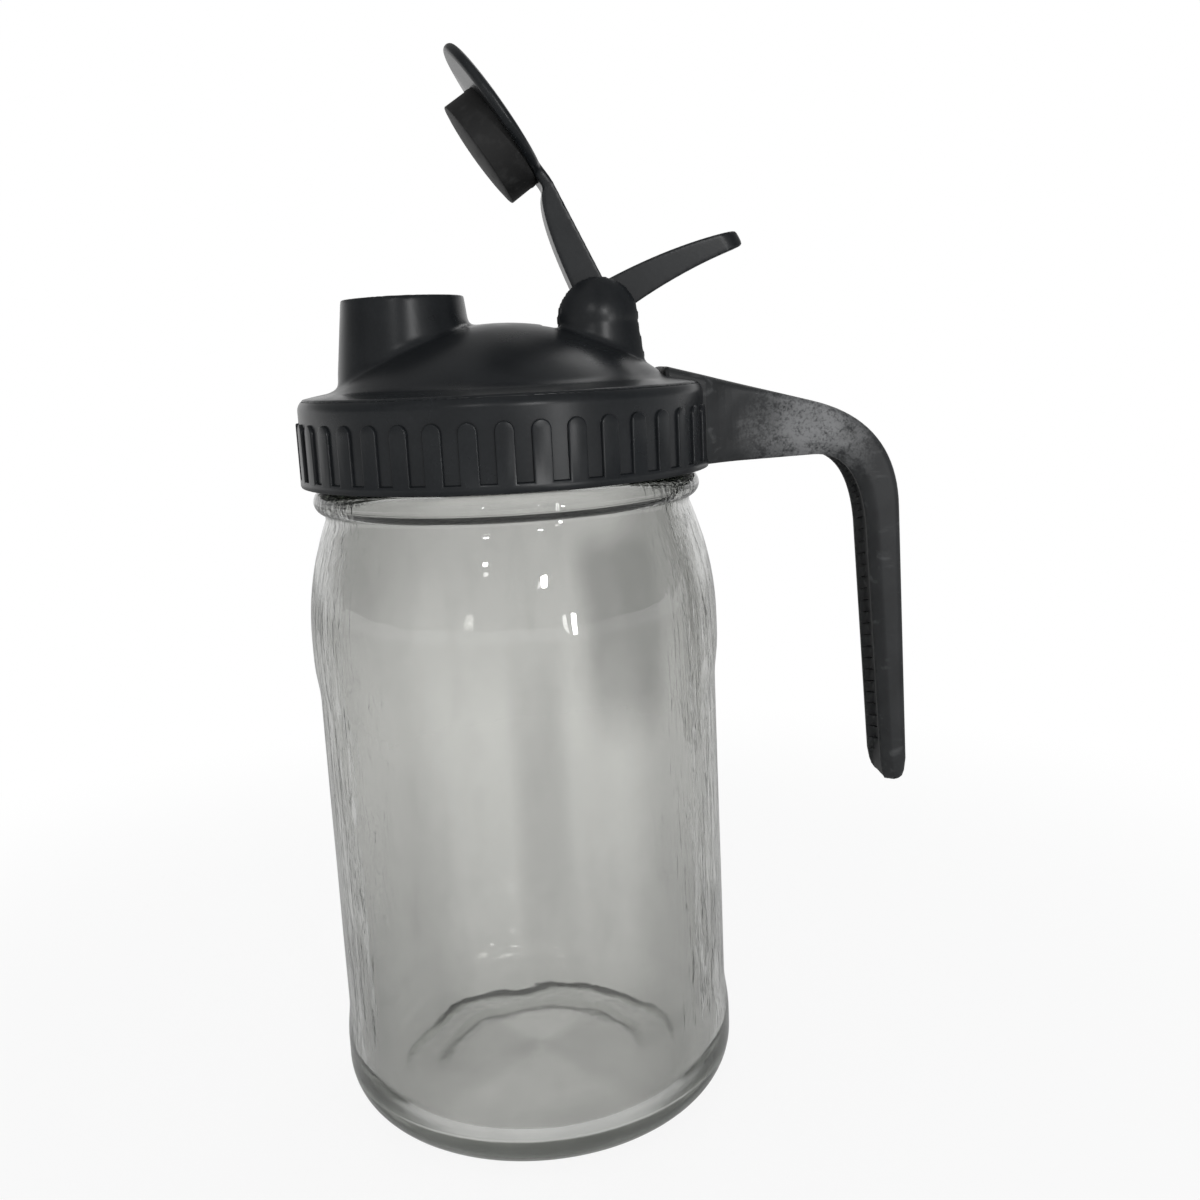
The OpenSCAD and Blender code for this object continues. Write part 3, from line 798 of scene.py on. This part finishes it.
def build_top(material):
    """Dome, pour spout and hinge ears, melted together with soft fillets."""
    bm = melted(0.5, cut(dome_shell(), spout_bore(), hinge_slot()), pour_spout(), hinge_ears())

    def over_dome(p):
        return p.z - dome_z(min(math.hypot(p.x, p.y), DOME_FOOT_R))

    def by_spout(p):
        off_wall = math.hypot(p.x + SPOUT_X, p.y) - spout_r(p.z)
        return abs(off_wall) < 2.4 and abs(over_dome(p)) < 2.6 and p.z < SPOUT_TOP - 1

    def by_tower(p):
        off_wall = math.hypot(p.x - PIVOT.x, p.y) - TOWER_R
        return 0 < off_wall < 2.2 and abs(over_dome(p)) < 1.4

    relax(bm, 2)
    relax(bm, 22, by_spout)
    relax(bm, 9, by_tower)
    piece("lid_dome", bm, "lid", "lid_plastic", material, "pour_lid")


# ------------------------------------------------------------------ flip cap

def arm_outline():
    """Outline of the arm from the disc to the hub, with the cap shut."""
    overlap, kink_out, spout_gap, belly_back, hub_turn = 6, 1.4, 0.4, 2.6, 200
    pin = Vector((PIVOT.x, PIVOT.z))
    kink = Vector((DISC_X + DISC_R + kink_out, DISC_Z + DISC_T + DISC_CROWN))
    run = pin - kink
    fall = math.degrees(math.asin(HUB_R / run.length) + math.atan2(run.y, run.x))
    hub_top = at_angle(pin, HUB_R, 90 + fall)
    hub_front = at_angle(pin, HUB_R, hub_turn)
    disc_side = (-SPOUT_X + SPOUT_R + spout_gap, DISC_Z + 0.1)
    belly = (disc_side[0] + belly_back, disc_side[1] - ARM_SAG)
    inner_x = DISC_X + DISC_R - overlap
    root = [(inner_x, DISC_Z), (inner_x, DISC_Z + DISC_T)]
    return root + [tuple(kink), hub_top, tuple(pin)] + curve(hub_front, belly, disc_side, 12)


def lever():
    """Thumb lever behind the pins, with a rounded tip."""
    back, front, tip, nose, root, corner, below = 1.4, 6.4, 1.9, 1.0, HUB_R * 0.7, 4.5, 9
    front_low, back_low, neck = 5, 9, LEVER_LEN * 0.6
    flat, tip_edge = tip - nose * 0.4, LEVER_LEN - 0.2
    outline = ([(-root, 0)]
               + curve((-front, front_low), (-front + 0.4, neck), (-tip, LEVER_LEN - nose), 14)
               + [(-flat, tip_edge), (0, LEVER_LEN), (flat, tip_edge)]
               + curve((tip, LEVER_LEN - nose), (0.2, neck), (back, back_low), 10)
               + [(root, 0)])
    side = [(ARM_W / 2, -below)] + arc((ARM_W / 2 - corner, LEVER_LEN - corner), corner, 0, 90, 8)
    face = slab(side + [(-y, z) for y, z in reversed(side)], 30)
    bm = combined(slab(outline, ARM_W + 2), turn(face, 90, "Z"), "INTERSECT")
    return shift(turn(bm, LEVER_LEAN, "Y"), PIVOT)


def opened(bm):
    """Turns what is drawn shut about the pins, to where the cap stands open."""
    return turn(bm, CAP_OPEN, "Y", PIVOT)


def crowned_disc():
    """The cap's disc, with rounded edges and a slightly crowned top."""
    edge = 1.2
    flat = DISC_R - edge
    crown_r = (flat ** 2 + DISC_CROWN ** 2) / (2 * DISC_CROWN)
    crown_turn = math.degrees(math.asin(flat / crown_r))
    crown_z = DISC_Z + DISC_T + DISC_CROWN - crown_r
    return lathe([(0, DISC_Z)] + arc((flat, DISC_Z + edge), edge, -90, 0, 5)
                 + arc((flat, DISC_Z + DISC_T - edge), edge, 0, 84, 6)
                 + arc((0, crown_z), crown_r, 90 - crown_turn, 90, 10), 128, DISC_X)


def build_cap(material):
    """Disc, arm, hub, pins and thumb lever, melted together."""
    hub = rod(PIVOT, HUB_R, HUB_W)
    pins = rod(PIVOT, PIN_R, HUB_W + 2 * PIN_LEN - 0.2)
    bm = melted(0.36, crowned_disc(), slab(arm_outline(), ARM_W), lever(), hub, pins)

    def by_kink(p):
        return abs(p.x - DISC_X - DISC_R) < 2.5 and abs(p.y) < ARM_W / 2 + 2.5

    def by_lever(p):
        return HUB_R - 0.5 < (p - PIVOT).length < HUB_R + 4 and p.z > PIVOT.z

    relax(bm, 3)
    relax(bm, 10, by_kink)
    relax(bm, 6, by_lever)
    piece("cap_and_lever", opened(bm), "cap", "cap_plastic", material, "flip_cap")


def build_plug(material):
    """Soft plug under the disc: a cup with a sharp lip, a sealing bead and a slightly domed end."""
    low = DISC_Z - PLUG_DEPTH
    edge, bead_h, dome = 0.25, 0.15, 0.85
    bead = [(PLUG_R - bead_h, DISC_Z), (PLUG_R, DISC_Z - 1.1), (PLUG_R - bead_h, DISC_Z - 1.6)]
    lip = arc((PLUG_R - 0.3, low + edge), edge, 0, -70, 3) + [(PLUG_R - 1.6, low - 0.2)]
    end = curve((PLUG_R - 1.9, low - edge), (PLUG_R / 2, low - dome), (0, low - dome), 8)
    bm = lathe([(0, DISC_Z)] + bead + lip + end, 96, -SPOUT_X)
    piece("plug_cup", opened(bm), "cap", "soft_seal", material, "cap_plug")


# ------------------------------------------------------------------ handle

def handle_section(half_t, half_w, depth):
    """Section across the handle as (out, side) points: round outside, channel inside."""
    r, rim_t, rim_w, half_c, lip = 2.0, min(2.4, half_t), 1.6, CHANNEL_W / 2, 0.3
    side = arc((half_t - r, half_w - r), r, 0, 90, 5)
    side += line((half_t - r, half_w), (rim_t - half_t, half_w), 6)[1:]
    side += [(rim_t - half_t, half_w), (lip - half_t, half_w - rim_w + 0.2), (-half_t, half_w - rim_w),
             (-half_t, half_c + lip), (lip - half_t, half_c), (depth - half_t, half_c - 0.6)]
    return [(half_t, 0)] + side + [(depth - half_t, 0)] + [(u, -w) for u, w in reversed(side)]


def handle_side(root, elbow, bend, grip, tip):
    """The outer or the inner outline of the handle, from the root to the tip."""
    return line(root, elbow, 22) + curve(elbow, bend, grip, 20) + line(grip, tip, 22)[1:] + [tip]


def handle_rings():
    """Rings of points from the root to the tip of the grip."""
    outer = handle_side(ROOT_OUT, ELBOW_OUT, BEND_OUT, GRIP_OUT, TIP_OUT)
    inner = handle_side(ROOT_IN, ELBOW_IN, BEND_IN, GRIP_IN, TIP_IN)
    run_in, run_out, tip_round = 11, 3, (0, 0.35, 1.0)
    last = len(outer) - 1
    rings = []
    for i, (b, a) in enumerate(zip(outer, inner)):
        a, b = Vector((a[0], 0, a[1])), Vector((b[0], 0, b[1]))
        middle, up = (a + b) / 2, (b - a).normalized()
        flare = ROOT_FLARE * max(0, 1 - max(0, middle.x - LID_R + 1) / FLARE_LEN) ** 2
        end = tip_round[max(0, i - last + 2)]
        depth = CHANNEL_DEPTH * min(1, i / run_in, (last - i) / run_out)
        section = handle_section((b - a).length / 2 - end, HANDLE_W / 2 + flare - end, depth)
        rings.append([middle + up * u + Vector((0, w, 0)) for u, w in section])
    return rings


def loft(rings):
    """A solid grown from the first ring's face, one extrusion for each further ring."""
    bm = bmesh.new()
    place = bm.verts.layers.int.new("place")
    face = bm.faces.new([bm.verts.new(p) for p in rings[0]])
    for k, v in enumerate(face.verts):
        v[place] = k
    for ring in rings[1:]:
        grown = bmesh.ops.extrude_face_region(bm, geom=[face])["geom"]
        face = next(g for g in grown if isinstance(g, bmesh.types.BMFace))
        for v in face.verts:
            v.co = ring[v[place]]
    bmesh.ops.recalc_face_normals(bm, faces=bm.faces)
    return bm


def lid_core(sunk):
    """What the lid fills where the handle meets it, smaller by sunk all round."""
    low = SKIRT_Z - 9
    dome = arc((0, DOME_CENTRE_Z), DOME_R - sunk, 51, 60, 6)
    shoulder = arc((BRIM_R, BRIM_Z - SHOULDER_ROUND), SHOULDER_ROUND - sunk, 0, 90, 6)
    return lathe([(0, low), (WALL_R - sunk, low)] + shoulder + dome + [(0, dome_z(30.1, sunk))], 144)


def build_handle(material):
    """The handle, dished on both sides of its bend and seated over the lid's shoulder."""
    dish = Vector((62.5, 0, 162.0))
    dish_reach, dish_depth, dish_squash = 11.5, 1.3, 1.25
    bm = with_modifier(loft(handle_rings()), "SUBSURF", levels=1, render_levels=1)
    for v in bm.verts:
        off = Vector((v.co.x - dish.x, (v.co.z - dish.z) * dish_squash))
        away = off.length / dish_reach
        if away < 1 and abs(v.co.y) > HANDLE_W / 2 - 1.5:
            v.co.y -= math.copysign(dish_depth * (1 - away * away), v.co.y)
    piece("side_handle", cut(bm, lid_core(0.9)), "lid", "handle_plastic", material, "handle")


# ------------------------------------------------------------------ floor and light

def floor_white():
    """White to the camera and through glass, with a soft shadow. Near the jar, gloss mirrors it as grey."""
    s = Shading("floor")
    x, y = s.axis(0), s.axis(1)
    reach = x * x + y * y
    gloss = s.mirrored()
    shade = s.add("ShaderNodeBsdfDiffuse", {}, {"Color": (0.86, 0.86, 0.86, 1)})
    near = gloss * (1 - s.step(reach, 0.5, 4.0))
    glow = s.blend(near, s.light("Emission", (1, 1, 1)), s.light("Emission", (0.36, 0.36, 0.36)))
    share = gloss.math("MAXIMUM", gloss, s.seen()) * (0.88 + 0.12 * s.step(reach, 0.01, 0.12))
    return s.finish(s.blend(share, shade, glow))


def build_floor(material):
    half = 40000
    bm = bmesh.new()
    bmesh.ops.create_grid(bm, x_segments=2, y_segments=2, size=half)
    bmesh.ops.scale(bm, verts=bm.verts, vec=(MM, MM, MM))
    floor = as_object("floor", bm)
    floor.data.materials.append(material)


def build_world():
    """Even grey daylight. The camera sees white all round, by itself and through glass.

    Surfaces mirror a room instead: dark in front, with two pale windows, grey overhead and at the
    sides, and white behind, near the horizon.
    """
    s = Shading("world", world=True)
    ahead, up = s.axis(1), s.axis(2)
    white = s.light("Background", (1, 1, 1))
    daylight = s.light("Background", (0.97, 0.98, 1.0), 0.55)
    windows = 0.7 * s.toward(36, 10, 18) + 0.8 * s.toward(-38, 20, 22)
    front = s.blend(windows * 0.45, s.light("Background", (0.14, 0.14, 0.145)), white)
    side = s.light("Background", (0.26, 0.26, 0.26))
    room = s.blend(s.step(ahead, -0.35, 0.25), front, side)
    room = s.blend(s.step(ahead - 1.5 * up, 0.1, 0.6), room, white)
    unseen = s.blend(s.mirrored(), daylight, room)
    bpy.context.scene.world = s.finish(s.blend(s.seen(), unseen, white))


def add_lamp(name, place, aim, width, height, power):
    """A rectangular lamp at place that faces the jar's axis at the height aim, all in metres."""
    light = bpy.data.lights.new(name, "AREA")
    light.shape = "RECTANGLE"
    light.size, light.size_y = width, height
    light.energy = power
    lamp = bpy.data.objects.new(name, light)
    facing = (Vector((0, 0, aim)) - Vector(place)).to_track_quat("-Z", "Y")
    lamp.matrix_world = Matrix.Translation(place) @ facing.to_matrix().to_4x4()
    bpy.context.collection.objects.link(lamp)


def allow_bounces():
    """Lets light pass through as many walls of glass as a view through the whole jar meets."""
    cycles = bpy.context.scene.cycles
    cycles.max_bounces = 24
    cycles.glossy_bounces = 16
    cycles.transmission_bounces = 24


plastic = moulded("lid_plastic", dark=0.0105, light=0.0155, gloss=0.27, seed=1.0)
cap_plastic = moulded("cap_plastic", dark=0.010, light=0.0150, gloss=0.29, seed=6.0)
seal = silicone()
build_jar(jar_glass())
build_gasket(seal)
build_skirt(plastic)
build_top(plastic)
build_cap(cap_plastic)
build_plug(seal)
build_handle(scuffed_plastic())
build_floor(floor_white())
build_world()
add_lamp("key", (0.60, -1.05, 0.13), aim=0.15, width=0.05, height=0.16, power=1.3)
add_lamp("second", (-0.28, -1.05, 0.62), aim=0.15, width=0.05, height=0.05, power=0.7)
add_lamp("strip", (0.33, -1.10, 0.46), aim=0.17, width=0.05, height=0.06, power=2.2)
add_lamp("rim", (0.45, 0.75, 0.95), aim=0.18, width=0.5, height=0.5, power=1.2)
allow_bounces()
bpy.context.scene.view_settings.view_transform = "Standard"
